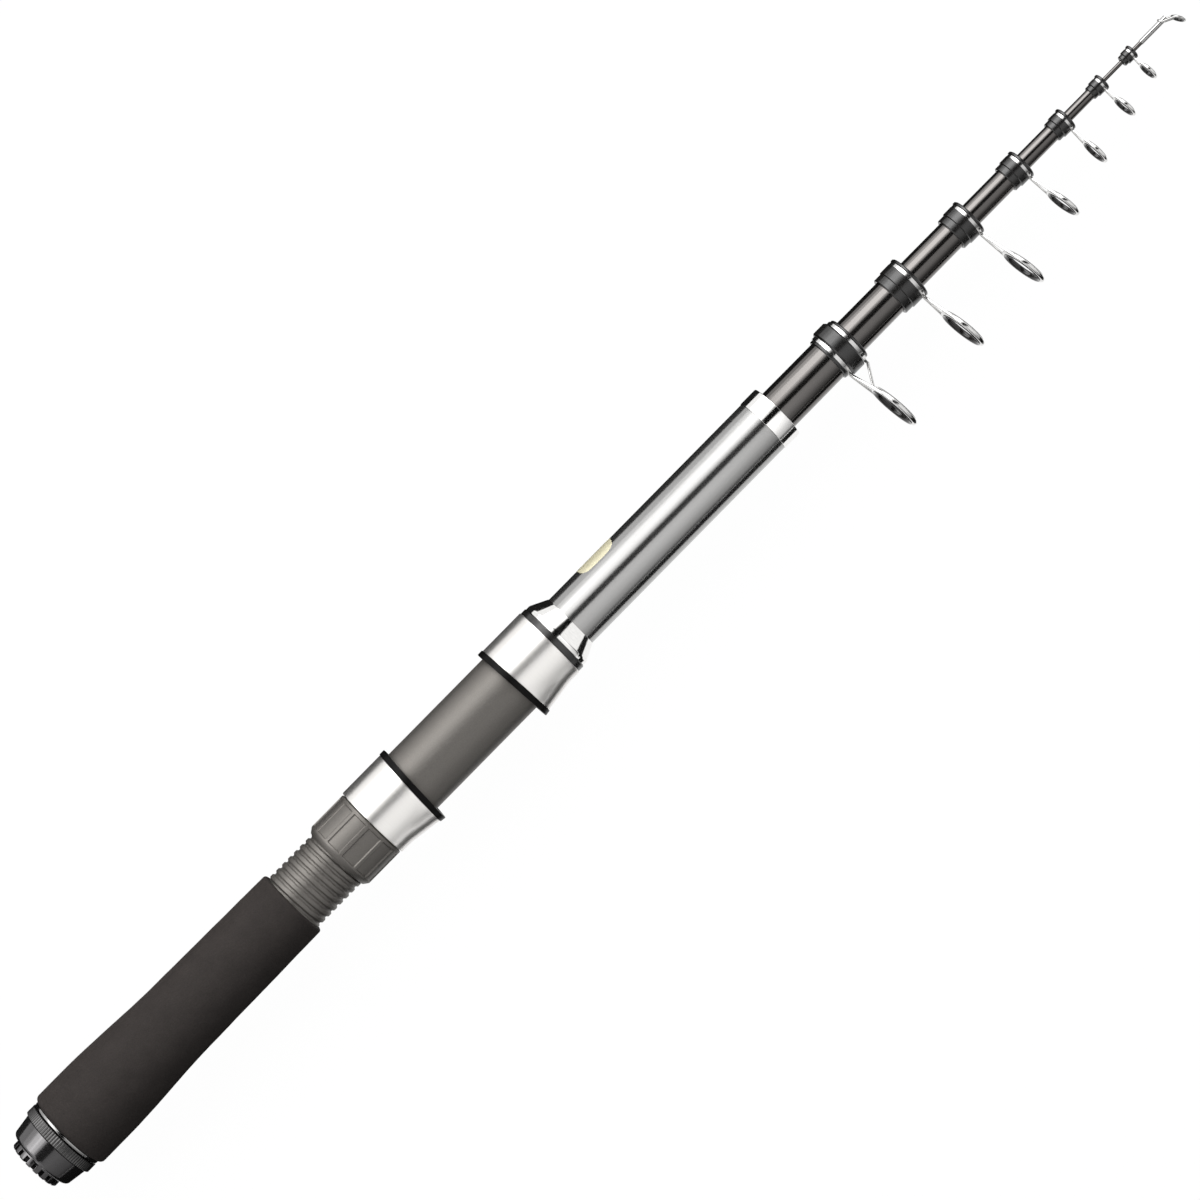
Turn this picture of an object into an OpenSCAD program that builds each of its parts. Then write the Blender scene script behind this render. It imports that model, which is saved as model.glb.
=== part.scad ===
// Telescopic fishing rod: a handle with a screw-down reel seat, six hollow sections and a solid tip.
// The rod lies along +X with its butt end at the origin, and the line guides hang towards -Y.
// Each piece is drawn standing on +Z, from butt to tip, and laid down along +X at the end.

/* [Butt cap] */
// Diameter of the notched crown at the very end
crown_d = 17.4; // [15:0.2:20]
// Length of the crown
crown_len = 2.7; // [1.5:0.1:5]
// Number of notches round the crown
crown_notches = 18; // [8:1:24]
// Width of one notch
notch_w = 1.2; // [0.6:0.1:1.6]
// Depth of one notch towards the axis
notch_depth = 0.9; // [0.4:0.1:2]
// Length of the smooth part of the cap
cap_len = 7.2; // [4:0.1:14]
// How much the smooth part narrows towards the crown, on each side
cap_taper = 0.8; // [0:0.1:1.2]
// Rounding of the shoulder behind the crown
cap_round = 1.6; // [0.5:0.1:2]
// Diameter of the rim that is gripped to unscrew the cap
cap_rim_d = 25.4; // [24.5:0.1:28]
// Height of the rim above the smooth part
cap_rim_rise = 0.8; // [0.4:0.1:1.2]
// Length of the rim
cap_rim_len = 3.3; // [2:0.1:8]
// Length of the screwed spigot inside the bush
spigot_len = 8.8; // [5:0.1:14]
// Wall of the hollow spigot
spigot_wall = 1.3; // [0.8:0.1:2]
// How far the foam pad stands out of the spigot
pad_proud = 2.4; // [1:0.1:4]

/* [Butt bush] */
// Bore that takes the spigot's thread
bush_bore_d = 16.8; // [16.5:0.1:17.6]
// Wall of the bush round the blank
bush_wall = 1.15; // [0.8:0.05:1.6]
// Length of blank held in the bush
bush_grip_len = 10; // [6:0.5:20]
// How far the bright ring lies below the rim of the cap
trim_ring_step = 0.1; // [0:0.05:0.4]
// Radial depth of the bright ring
trim_ring_depth = 2.3; // [1.8:0.1:2.6]
// Length of the bright ring
trim_ring_len = 1.05; // [0.6:0.05:3]

/* [Grip] */
// Length of the foam grip
grip_len = 95; // [70:1:160]
// Diameter of the swell under the palm
grip_palm_d = 27.7; // [26:0.1:34]
// Length of the swell before it starts to narrow
grip_palm_len = 10.5; // [6:0.5:24]
// Diameter where the swell has run out
grip_waist_d = 24.6; // [24:0.1:27]
// Distance of that place from the butt end of the grip
grip_waist_at = 51; // [40:1:60]
// Diameter at the top of the grip
grip_top_d = 23.6; // [23:0.1:26]
// Rounding at the butt end of the grip
grip_butt_round = 2.6; // [1:0.1:4]
// Rounding at the top of the grip
grip_top_round = 0.9; // [0.4:0.1:2]

/* [Reel seat] */
// Diameter of the smooth stretch of the seat
seat_d = 21.7; // [20:0.1:24]
// How far the crest of the thread lies below the smooth stretch
thread_step = 0.45; // [0.2:0.05:0.6]
// Length of the threaded stretch
thread_len = 44.4; // [42:0.2:50]
// Bare thread between the grip and the lock nut
nut_at = 18.4; // [2:0.1:22]
// Free length between the two hoods, where the reel foot goes
reel_gap = 41.2; // [30:0.1:60]

/* [Lock nut] */
// Height of the lock nut above the seat
nut_rise = 1.2; // [1:0.05:2]
// Length of the lock nut
nut_len = 14.8; // [10:0.1:24]
// Length of the chamfer at its lower end
nut_chamfer_len = 1.6; // [0.8:0.1:3]
// Height of the chamfer
nut_chamfer = 1.1; // [0.6:0.1:1.6]
// Number of sunk panels round the nut
nut_panels = 12; // [6:1:18]
// Width of the rib between two panels
nut_rib_w = 1.2; // [0.6:0.1:2]
// Depth of a panel
nut_panel_depth = 0.4; // [0.2:0.05:0.6]
// Plain rim left at each end of the panels
nut_rim = 1.1; // [0.5:0.1:2]
// Length of the snap flange in front of the nut
nut_flange_len = 1; // [0.6:0.1:2]

/* [Hoods] */
// Length of a hood over its rim
hood_len = 17.2; // [14:0.1:24]
// Height of a hood's narrow end above the seat
hood_rise = 1.65; // [1.4:0.05:2]
// Wall of the metal hood
hood_wall = 0.8; // [0.5:0.05:0.9]
// How much wider than the seat the hood's pocket side is, at each side
pocket_room = 0.45; // [0.1:0.05:1]
// How far the pocket is set to the guide side at the mouth
pocket_rise = 3; // [2:0.1:4.5]
// How far the pocket is set to the guide side at the narrow end
pocket_run_out = 0.6; // [0:0.1:1]
// Wall of the black liner inside the hood
liner_wall = 0.5; // [0.3:0.05:0.6]
// Length of the liner's rim at the mouth
liner_rim_len = 1.9; // [1:0.1:3]
// How far the liner's rim stands proud of the hood
liner_rim_proud = 0.3; // [0.1:0.05:1]
// Angle at which the mouth of a hood is cut back on the guide side
mouth_rake = 3; // [0:0.5:8]
// Length of the lip that holds the hood to the lock nut
hood_lip_len = 0.8; // [0.5:0.1:1.5]
// Height of the black ring above the seat
seat_ring_rise = 1.4; // [0.6:0.05:2]
// Length of the black ring
seat_ring_len = 2; // [1:0.1:4]
// Height of the winding check's wide end above the seat
check_rise = 1.15; // [0.2:0.05:1.4]
// Length of the winding check
check_len = 6.8; // [4:0.1:12]
// Length of its straight wide end, before the cone
check_flat = 1.5; // [0.5:0.1:3]
// Edge left at the narrow end of the winding check
check_edge = 0.15; // [0.1:0.05:0.5]

/* [Butt blank] */
// Diameter of the butt section
blank_d = 18.4; // [18:0.1:19]
// Bare length of the butt section in front of the winding check
blank_bare_len = 82.4; // [40:0.5:200]
// Wall of the butt section at its mouth
blank_wall = 1.65; // [1.5:0.05:1.8]
// How much wider the bore is at the butt end
blank_bore_growth = 1.3; // [0.6:0.1:1.5]
// Length of the bright ferrule on its mouth
ferrule_len = 6.3; // [3:0.1:12]
// Diameter of the ferrule
ferrule_d = 18.8; // [18.6:0.1:20]
// Wall of the ferrule
ferrule_wall = 0.6; // [0.4:0.05:0.8]

/* [Sections] */
// Diameter of the first section at its top
section_d = 13.8; // [13.4:0.05:14]
// Drop in diameter from each section to the next
section_drop = 2.07; // [1.9:0.01:2.1]
// Wall of the hollow sections
section_wall = 0.45; // [0.35:0.05:0.5]
// Overlap of two sections that are drawn right out
lock_overlap = 40; // [20:1:60]
// How far each section is drawn out, and then the floating guide on the tip
drawn_out = [21.7, 17.3, 17.6, 15.5, 12.9, 10.2, 8.2]; // [1:0.1:200]
// Free length of tip between the floating guide and the tip ring
tip_gap = 3.4; // [1:0.1:20]

/* [Collars] */
// Length of the first collar
collar_len = 9.6; // [9:0.1:14]
// How much shorter each collar is than the one before
collar_len_drop = 0.8; // [0.4:0.05:0.85]
// Wall of the first collar's sleeve, between its two bands
wide_sleeve_wall = 1.8; // [1.3:0.05:2.4]
// Wall of the first collar's end rings
wide_ring_wall = 0.65; // [0.4:0.05:1.2]
// Wall of the other sleeves at their rear step
sleeve_low_wall = 0.7; // [0.4:0.05:0.9]
// Wall of the other sleeves beside the band
sleeve_wall = 1.05; // [0.95:0.05:1.6]
// Wall of the end ring in front of the band
end_ring_wall = 1.3; // [1.05:0.05:1.8]
// Length of the end ring in front of the band
end_ring_len = 1.05; // [0.7:0.05:2]
// How much thicker the second collar is than these walls
collar_swell = 0.3; // [0:0.05:0.4]
// How much of that each later collar loses
collar_swell_drop = 0.12; // [0:0.01:0.12]
// Wall of the bands that carry the guides
band_wall = 1; // [0.7:0.05:1.4]
// Length of the first band
band_len = 1.15; // [1:0.05:1.6]
// How much shorter each band is than the one before
band_len_drop = 0.08; // [0.04:0.01:0.1]
// Wall of the floating guide's band, which is wider than the tip
float_band_wall = 1.4; // [1.3:0.05:1.8]
// Share of a stepped sleeve's length that is the low step
sleeve_step = 0.42; // [0.2:0.02:0.6]

/* [Guides] */
// Outer diameter of each guide hoop, from the butt to the floating guide
guide_d = [17.4, 16.2, 15.3, 12, 9.6, 8.4, 6.8]; // [5:0.1:24]
// Distance of each hoop's centre from the rod's axis
guide_reach = [23.8, 22.2, 22.1, 17.2, 13.2, 10, 7.5]; // [6:0.1:36]
// Lean of each guide towards the tip
guide_lean = [4.5, 6, 8, 8, 2.5, 5, 4]; // [0:0.5:15]
// How far the first hoop is set towards the tip from its band
wide_guide_ahead = 1.5; // [0:0.1:2]
// Wire diameter of the largest hoop
hoop_wire_d = 1.5; // [1.2:0.05:1.8]
// Wire diameter of the smallest hoop
hoop_wire_min_d = 0.9; // [0.8:0.05:1.1]
// Diameter of the struts that carry a hoop
strut_d = 0.95; // [0.7:0.05:1.1]
// Half the spread of the two struts at the band
strut_spread = 0.6; // [0.4:0.05:1]
// Radial depth of the largest ring in a hoop
ring_wall = 1; // [0.7:0.05:1.2]
// Radial depth of the smallest ring in a hoop
ring_min_wall = 0.62; // [0.45:0.01:0.7]

/* [Tip ring] */
// Diameter of the tube on the tip
tip_tube_d = 1.7; // [1.5:0.05:2.4]
// Length of the tube on the tip
tip_tube_len = 10.8; // [6:0.1:16]
// Diameter of the tip inside the tube
tip_end_d = 1.1; // [0.9:0.05:1.2]
// Outer diameter of the tip hoop
tip_hoop_d = 4.9; // [4.4:0.1:7]
// Wire diameter of the tip hoop
tip_wire_d = 0.72; // [0.6:0.02:0.9]
// Wire diameter of the arms that carry the tip hoop
tip_arm_d = 0.64; // [0.5:0.02:0.8]
// Angle round the tip hoop at which the side arms meet it
tip_arm_at = 30; // [10:1:50]
// Radial depth of the ring in the tip hoop
tip_ring_wall = 0.5; // [0.4:0.02:0.6]
// Distance of the tip hoop's centre from the axis
tip_reach = 2.9; // [2.4:0.1:5]
// Distance of the tip hoop's centre in front of the tube
tip_ahead = 2.6; // [2:0.1:4]
// Lean of the tip hoop
tip_lean = 28; // [10:1:45]

/* [Clearances] */
// Gap between pieces that are glued or pressed together
fit = 0.03; // [0.01:0.01:0.05]
// Gap round pieces that turn or slide on each other
run = 0.1; // [0.05:0.01:0.12]
// Gap between end faces that come together
face_gap = 0.3; // [0.2:0.05:0.4]
// Gap round a section that is drawn right out
lock_gap = 0.06; // [0.03:0.01:0.1]

/* [Hidden] */
$fn = 64;
over = 1; // how far a cut runs past the face that it cuts
far = 60; // size of a cutting block, larger than the rod is wide
sections = 6; // hollow sections between the handle and the tip
tip = sections + 1;

// Handle, from butt to tip
cap_face_z = crown_len + cap_len + cap_rim_len;
bush_z = cap_face_z + face_gap;
grip_z = bush_z + trim_ring_len;
blank_z = cap_face_z + spigot_len + over;
seat_z = grip_z + grip_len;
seat_step_z = seat_z + thread_len;
nut_z = seat_z + nut_at;
nut_top_z = nut_z + nut_len;
hood_z = nut_top_z + face_gap;
hood_mouth_z = hood_z + hood_len;
fixed_mouth_z = hood_mouth_z + reel_gap;
seat_top_z = fixed_mouth_z + hood_len;
check_z = seat_top_z + seat_ring_len;
bare_z = check_z + check_len;
ferrule_z = bare_z + blank_bare_len;
handle_mouth_z = ferrule_z + ferrule_len;

// Radii in the handle
cap_r = cap_rim_d / 2 - cap_rim_rise;
cap_end_r = cap_r - cap_taper;
trim_ring_r = cap_rim_d / 2 - trim_ring_step;
trim_ring_bore_r = trim_ring_r - trim_ring_depth;
spigot_r = bush_bore_d / 2 - run;
cup_r = spigot_r - spigot_wall;
cup_floor_z = cap_face_z + over;
blank_r = blank_d / 2;
blank_seat_r = blank_r + fit;
bush_r = blank_seat_r + bush_wall;
blank_mouth_bore_r = blank_r - blank_wall;
blank_foot_bore_r = blank_mouth_bore_r + blank_bore_growth / 2;
ferrule_seat_r = ferrule_d / 2 - ferrule_wall;
ferrule_cap_z = handle_mouth_z - ferrule_wall;
seat_r = seat_d / 2;
thread_r = seat_r - thread_step;
nut_r = seat_r + nut_rise;
nut_bore_r = thread_r + run;
hood_r = seat_r + hood_rise;
hood_bore_r = seat_r + run + fit;
nut_neck_r = hood_bore_r - run;
nut_flange_r = hood_r - hood_wall - run;
pocket_r = seat_r + pocket_room;

// Sections: 1 to 6 are hollow, 7 is the solid tip with its floating guide
stop_z = blank_z + 2 * over;
function top_r(k) = (section_d - (k - 1) * section_drop) / 2;
function collar_length(k) = collar_len - (k - 1) * collar_len_drop;
function collar_z(k) = mouth_z(k - 1) + drawn_out[k - 1];
function mouth_z(k) = k == 0 ? handle_mouth_z : collar_z(k) + collar_length(k);
function pushed_in(k) = k == 0 ? 0 : pushed_in(k - 1) + drawn_out[k - 1] - face_gap;
function foot_z(k) = stop_z + pushed_in(k) + (k == tip ? tip_gap - face_gap : 0);
function tube_len(k) = mouth_z(k) + (k == tip ? tip_gap : 0) - foot_z(k);
function foot_r(k) = bore_r(k - 1, lock_overlap) - lock_gap;
function slope(k) = (foot_r(k) - top_r(k)) / tube_len(k);
function blank_slope() = (blank_foot_bore_r - blank_mouth_bore_r) / (ferrule_cap_z - blank_z);
function bore_r(k, depth) = k == 0
    ? blank_mouth_bore_r + blank_slope() * (depth - ferrule_wall)
    : top_r(k) - section_wall + slope(k) * depth;
function tube_r(k, depth) = top_r(k) + slope(k) * depth;
function travel_out(k) = mouth_z(k - 1) - lock_overlap - foot_z(k);

// The floating guide slides back along the tip as the tip is drawn out
float_slide = 0.4;
float_seat = travel_out(tip) * float_slide;
tip_tube_z = mouth_z(tip) + tip_gap;
tip_hoop_z = tip_tube_z + tip_tube_len + tip_ahead;

// Collars: sleeve, band and end ring are threaded on the top of a section
collar_edge = 0.25;
wide_sleeve_edge = 0.5;
function collar_bore_r(k) = k == tip
    ? tube_r(tip, tip_gap + collar_length(tip) + float_seat) + run
    : tube_r(k, collar_length(k)) + fit;
function band_length(k) = band_len - (k - 1) * band_len_drop;
function swell(k) = k == 1 ? 0 : collar_swell - (k - 2) * collar_swell_drop;
function band_r(k) = top_r(k) + (k == tip ? float_band_wall : band_wall + swell(k));
function end_ring_r(k) = band_r(k) + end_ring_wall - band_wall;
function sleeve_r(k) = band_r(k) + sleeve_wall - band_wall;
function sleeve_low_r(k) = band_r(k) + sleeve_low_wall - band_wall;
function front_band_z(k) = mouth_z(k) - end_ring_len - band_length(k);
rear_band_z = collar_z(1) + end_ring_len;
wide_sleeve_z = rear_band_z + band_length(1) + run;
wide_sleeve_r = top_r(1) + wide_sleeve_wall;
function guide_z(k) = (k == 1 ? rear_band_z : front_band_z(k)) + band_length(k) / 2;

// Guides: a hoop on two struts, with a hard ring seated in the hoop
seat_share = 0.45; // how far the seat is set in from the wire's centre, in wire radii
function ahead(k) = k == 1 ? wide_guide_ahead : 0;
function by_size(k, small, large) =
    small + (large - small) * (guide_d[k - 1] - guide_d[6]) / (guide_d[0] - guide_d[6]);
function wire_r(k) = by_size(k, hoop_wire_min_d, hoop_wire_d) / 2;
function ring_depth(k) = by_size(k, ring_min_wall, ring_wall);
function hoop_r(k) = guide_d[k - 1] / 2 - wire_r(k);
function strut_r(k) = min(strut_d, band_length(k) - 2 * run) / 2;
function hoop_drop(k) = (guide_reach[k - 1] - band_r(k)) / cos(guide_lean[k - 1]);
function seat_in_hoop(hoop, wire) = hoop - seat_share * wire;

// Where a line from a point touches a circle about the origin, on the side of +X
function touch(p, r) = let (a = atan2(p.y, p.x) - acos(r / norm(p))) [r * cos(a), r * sin(a)];

SECTION_PIECES = ["tube", "sleeve", "end_ring", "guide_frame", "guide_ring"];

// Lays a standing piece down along +X
module lay() {
    rotate([0, 90, 0]) children();
}

// A plain ring or tube between two heights
module ring(z0, z1, r_out, r_in) {
    translate([0, 0, z0]) difference() {
        cylinder(h = z1 - z0, r = r_out);
        translate([0, 0, -over]) cylinder(h = z1 - z0 + 2 * over, r = r_in);
    }
}

// A round bar between two points
module bar(a, b, r) {
    d = b - a;
    translate(a)
        rotate([0, acos(d.z / norm(d)), atan2(d.y, d.x)])
            cylinder(h = norm(d), r = r);
}

// Butt cap and its pad
module butt_cap() {
    edge = 0.5;
    round_steps = 5;
    notch_at = crown_d / 2 - notch_depth;
    shoulder = [for (i = [0 : round_steps]) let (a = 90 * i / round_steps)
        [cap_end_r - cap_round * (1 - sin(a)), crown_len + cap_round * (1 - cos(a))]];
    color("#48464a") lay() difference() {
        union() {
            rotate_extrude() polygon(concat(
                [[0, 0], [crown_d / 2 - edge, 0], [crown_d / 2, edge], [crown_d / 2, crown_len]],
                shoulder,
                [[cap_r, crown_len + cap_len], [cap_rim_d / 2 - edge / 2, crown_len + cap_len],
                 [cap_rim_d / 2, crown_len + cap_len + edge / 2],
                 [cap_rim_d / 2, cap_face_z - edge / 2], [cap_rim_d / 2 - edge / 2, cap_face_z],
                 [0, cap_face_z]]
            ));
            cylinder(h = cap_face_z + spigot_len, r = spigot_r);
        }
        translate([0, 0, cup_floor_z]) cylinder(h = spigot_len + over, r = cup_r);
        for (i = [0 : crown_notches - 1])
            rotate(360 * i / crown_notches)
                translate([notch_at, -notch_w / 2, -over])
                    cube([notch_depth + over, notch_w, crown_len + over - edge]);
    }
}

module butt_cap_pad() {
    pad_len = cap_face_z + spigot_len + pad_proud - cup_floor_z;
    color("#2c2a29") lay()
        translate([0, 0, cup_floor_z + fit]) cylinder(h = pad_len - fit, r = cup_r - fit);
}

// Threaded bush over the end of the blank, and the bright ring on its neck
module butt_bush() {
    neck_r = trim_ring_bore_r - fit;
    bore_r = bush_bore_d / 2;
    top_z = blank_z + bush_grip_len;
    color("#3a3838") lay() rotate_extrude() polygon([
        [bore_r, bush_z], [neck_r, bush_z], [neck_r, grip_z + fit], [bush_r, grip_z + fit],
        [bush_r, top_z], [blank_seat_r, top_z], [blank_seat_r, blank_z], [bore_r, blank_z]
    ]);
}

module butt_trim_ring() {
    edge = trim_ring_len / 3;
    color("#e4e3e2") lay() rotate_extrude() polygon([
        [trim_ring_bore_r, bush_z], [trim_ring_r - edge, bush_z], [trim_ring_r, bush_z + edge],
        [trim_ring_r, grip_z - edge], [trim_ring_r - edge, grip_z], [trim_ring_bore_r, grip_z]
    ]);
}

// Foam grip: a swell under the palm that eases into a slim taper
module grip() {
    palm_r = grip_palm_d / 2;
    waist_r = grip_waist_d / 2;
    top_edge_r = grip_top_d / 2;
    ease_steps = 12;
    round_steps = 5;
    ease_z = grip_z + grip_palm_len;
    waist_z = grip_z + grip_waist_at;
    butt_end = [for (i = [0 : round_steps]) let (a = 90 * i / round_steps)
        [palm_r - grip_butt_round * (1 - sin(a)), grip_z + grip_butt_round * (1 - cos(a))]];
    ease = [for (i = [0 : ease_steps]) let (t = i / ease_steps)
        [waist_r + (palm_r - waist_r) * (1 + cos(180 * t)) / 2, ease_z + (waist_z - ease_z) * t]];
    top_end = [for (i = [0 : round_steps]) let (a = 90 * i / round_steps)
        [top_edge_r - grip_top_round * (1 - cos(a)), seat_z - grip_top_round * (1 - sin(a))]];
    color("#38322f") lay() difference() {
        rotate_extrude() polygon(concat(
            [[blank_seat_r, grip_z]], butt_end, ease, top_end, [[blank_seat_r, seat_z]]
        ));
        translate([0, 0, grip_z - over])
            cylinder(h = blank_z + bush_grip_len - grip_z + over + fit, r = bush_r + fit);
    }
}

// Butt section with its tapered bore, and the ferrule on its mouth
module butt_blank() {
    color("#c8c6c4") lay() rotate_extrude() polygon([
        [blank_foot_bore_r, blank_z + fit], [blank_r, blank_z + fit], [blank_r, ferrule_z],
        [ferrule_seat_r - fit, ferrule_z], [ferrule_seat_r - fit, ferrule_cap_z - fit],
        [blank_mouth_bore_r, ferrule_cap_z - fit]
    ]);
}

module blank_ferrule() {
    edge = ferrule_wall / 2;
    mouth_r = blank_mouth_bore_r + fit;
    color("#dedcda") lay() rotate_extrude() polygon([
        [ferrule_seat_r, ferrule_z + fit], [ferrule_d / 2, ferrule_z + fit],
        [ferrule_d / 2, handle_mouth_z - edge], [ferrule_d / 2 - edge, handle_mouth_z],
        [mouth_r, handle_mouth_z], [mouth_r, ferrule_cap_z], [ferrule_seat_r, ferrule_cap_z]
    ]);
}

// Reel seat tube: a threaded stretch for the nut, then the smooth stretch under the reel
module reel_seat() {
    lead = 0.6;
    color("#69645f") lay() rotate_extrude() polygon([
        [blank_seat_r, seat_z], [thread_r, seat_z], [thread_r, seat_step_z],
        [seat_r - lead / 3, seat_step_z], [seat_r, seat_step_z + lead],
        [seat_r, seat_top_z], [blank_seat_r, seat_top_z]
    ]);
}

// Lock nut with sunk panels, and a snap flange that the hood's lip turns behind
module lock_nut() {
    neck_top_z = hood_z + hood_lip_len + run;
    flange_top_z = neck_top_z + nut_flange_len;
    edge = 0.35;
    panel_z = nut_z + nut_chamfer_len + nut_rim / 2;
    panel_top_z = nut_top_z - nut_rim;
    rib_angle = 180 * nut_rib_w / (PI * nut_r);
    panel_angle = 360 / nut_panels - rib_angle;
    color("#5f5b57") lay() difference() {
        rotate_extrude() polygon([
            [nut_bore_r, nut_z], [nut_r - nut_chamfer, nut_z], [nut_r, nut_z + nut_chamfer_len],
            [nut_r, nut_top_z - edge], [nut_r - edge, nut_top_z], [nut_neck_r, nut_top_z],
            [nut_neck_r, neck_top_z], [nut_flange_r, neck_top_z], [nut_flange_r, flange_top_z],
            [nut_bore_r, flange_top_z]
        ]);
        for (i = [0 : nut_panels - 1])
            rotate(360 * i / nut_panels + rib_angle / 2)
                translate([0, 0, panel_z])
                    rotate_extrude(angle = panel_angle)
                        translate([nut_r - nut_panel_depth, 0])
                            square([nut_panel_depth + over, panel_top_z - panel_z]);
    }
}

// A hood is drawn with its narrow end at z = 0 and its mouth at z = hood_len
module hood_bulge(main_r, side_r, z0, z1) {
    tilt = atan((pocket_rise - pocket_run_out) / hood_len);
    union() {
        translate([0, 0, z0]) cylinder(h = z1 - z0, r = main_r);
        intersection() {
            translate([-far / 2, -far / 2, z0]) cube([far, far, z1 - z0]);
            translate([0, -pocket_run_out, 0]) rotate([tilt, 0, 0])
                translate([0, 0, -far / 2]) cylinder(h = 2 * far, r = side_r);
        }
    }
}

// Everything in front of the raked mouth plane, set back along the hood
module past_mouth(back) {
    translate([0, 0, hood_len]) rotate([mouth_rake, 0, 0])
        translate([-far / 2, -far / 2, -back]) cube([far, far, far]);
}

module hood_shell(lip_r, lip_len) {
    difference() {
        hood_bulge(hood_r, pocket_r, 0, hood_len + over);
        hood_bulge(hood_r - hood_wall, pocket_r - hood_wall, lip_len, hood_len + 2 * over);
        translate([0, 0, -over]) cylinder(h = lip_len + 2 * over, r = lip_r);
        past_mouth(liner_rim_len);
    }
}

module hood_liner(rear_z) {
    skin = hood_wall + fit;
    hollow = skin + liner_wall;
    difference() {
        union() {
            difference() {
                hood_bulge(hood_r - skin, pocket_r - skin, rear_z, hood_len + over);
                past_mouth(liner_rim_len);
            }
            intersection() {
                hood_bulge(hood_r + liner_rim_proud, pocket_r + liner_rim_proud,
                    hood_len - far / 4, hood_len + far / 4);
                translate([0, 0, hood_len]) rotate([mouth_rake, 0, 0])
                    translate([-far / 2, -far / 2, -liner_rim_len])
                        cube([far, far, liner_rim_len]);
            }
        }
        translate([0, 0, -over]) cylinder(h = hood_len + far / 4, r = hood_bore_r);
        hood_bulge(hood_bore_r - fit, pocket_r - hollow, rear_z - over, hood_len + far / 4);
    }
}

module sliding_hood() {
    color("#efece9") lay() translate([0, 0, hood_z])
        hood_shell(nut_neck_r + run, hood_lip_len);
}

module sliding_hood_liner() {
    color("#211f1f") lay() translate([0, 0, hood_z])
        hood_liner(hood_lip_len + nut_flange_len + 4 * run);
}

module fixed_hood() {
    color("#efece9") lay() translate([0, 0, seat_top_z]) mirror([0, 0, 1])
        hood_shell(seat_r + fit, hood_lip_len);
}

module fixed_hood_liner() {
    color("#211f1f") lay() translate([0, 0, seat_top_z]) mirror([0, 0, 1])
        hood_liner(hood_lip_len + fit);
}

module seat_ring() {
    color("#1c1b1b") lay() ring(seat_top_z, check_z, seat_r + seat_ring_rise, blank_seat_r);
}

// Winding check: a straight rim and a cone that closes the seat onto the blank
module winding_check() {
    rim_r = seat_r + check_rise;
    color("#d6d4d2") lay() rotate_extrude() polygon([
        [blank_seat_r, check_z], [rim_r, check_z], [rim_r, check_z + check_flat],
        [blank_seat_r + check_edge, bare_z], [blank_seat_r, bare_z]
    ]);
}

// One hollow section, tapered inside and out
module section_tube(k) {
    color("#5f5a55") lay() rotate_extrude() polygon([
        [foot_r(k) - section_wall, foot_z(k)], [foot_r(k), foot_z(k)],
        [top_r(k), mouth_z(k)], [top_r(k) - section_wall, mouth_z(k)]
    ]);
}

// Sleeve: straight between two bands on the first collar, stepped behind the band on the others
module sleeve(k) {
    bore = collar_bore_r(k);
    z0 = collar_z(k);
    z1 = front_band_z(k);
    step_z = z0 + (z1 - z0) * sleeve_step;
    color("#282625") lay() rotate_extrude() polygon(k == 1
        ? [[bore, wide_sleeve_z], [wide_sleeve_r - wide_sleeve_edge, wide_sleeve_z],
           [wide_sleeve_r, wide_sleeve_z + wide_sleeve_edge],
           [wide_sleeve_r, z1 - wide_sleeve_edge], [wide_sleeve_r - wide_sleeve_edge, z1],
           [bore, z1]]
        : [[bore, z0], [sleeve_low_r(k) - collar_edge, z0], [sleeve_low_r(k), z0 + collar_edge],
           [sleeve_low_r(k), step_z], [sleeve_r(k), step_z + collar_edge], [sleeve_r(k), z1],
           [bore, z1]]);
}

// End ring in front of the band, and behind the rear band on the first collar
module end_ring(k) {
    bore = collar_bore_r(k);
    r = k == 1 ? top_r(1) + wide_ring_wall : end_ring_r(k);
    z0 = mouth_z(k) - end_ring_len;
    color("#282625") lay() {
        rotate_extrude() polygon([
            [bore, z0], [r - collar_edge, z0], [r, z0 + collar_edge],
            [r, mouth_z(k) - collar_edge], [r - collar_edge, mouth_z(k)], [bore, mouth_z(k)]
        ]);
        if (k == 1) rotate_extrude() polygon([
            [bore, collar_z(1)], [r - collar_edge, collar_z(1)], [r, collar_z(1) + collar_edge],
            [r, rear_band_z], [bore, rear_band_z]
        ]);
    }
}

// Places a guide's hoop, with its centre on the local origin
module at_hoop(k) {
    translate([0, -band_r(k), guide_z(k) + ahead(k)]) rotate([-guide_lean[k - 1], 0, 0])
        translate([0, -hoop_drop(k), 0]) children();
}

// A point of the hoop's own plane, given from the hoop's centre, in the frame of the standing rod
function on_hoop(k, p) = let (down = hoop_drop(k) - p.y)
    [p.x, -band_r(k) - down * cos(guide_lean[k - 1]),
     guide_z(k) + ahead(k) + down * sin(guide_lean[k - 1])];

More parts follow.
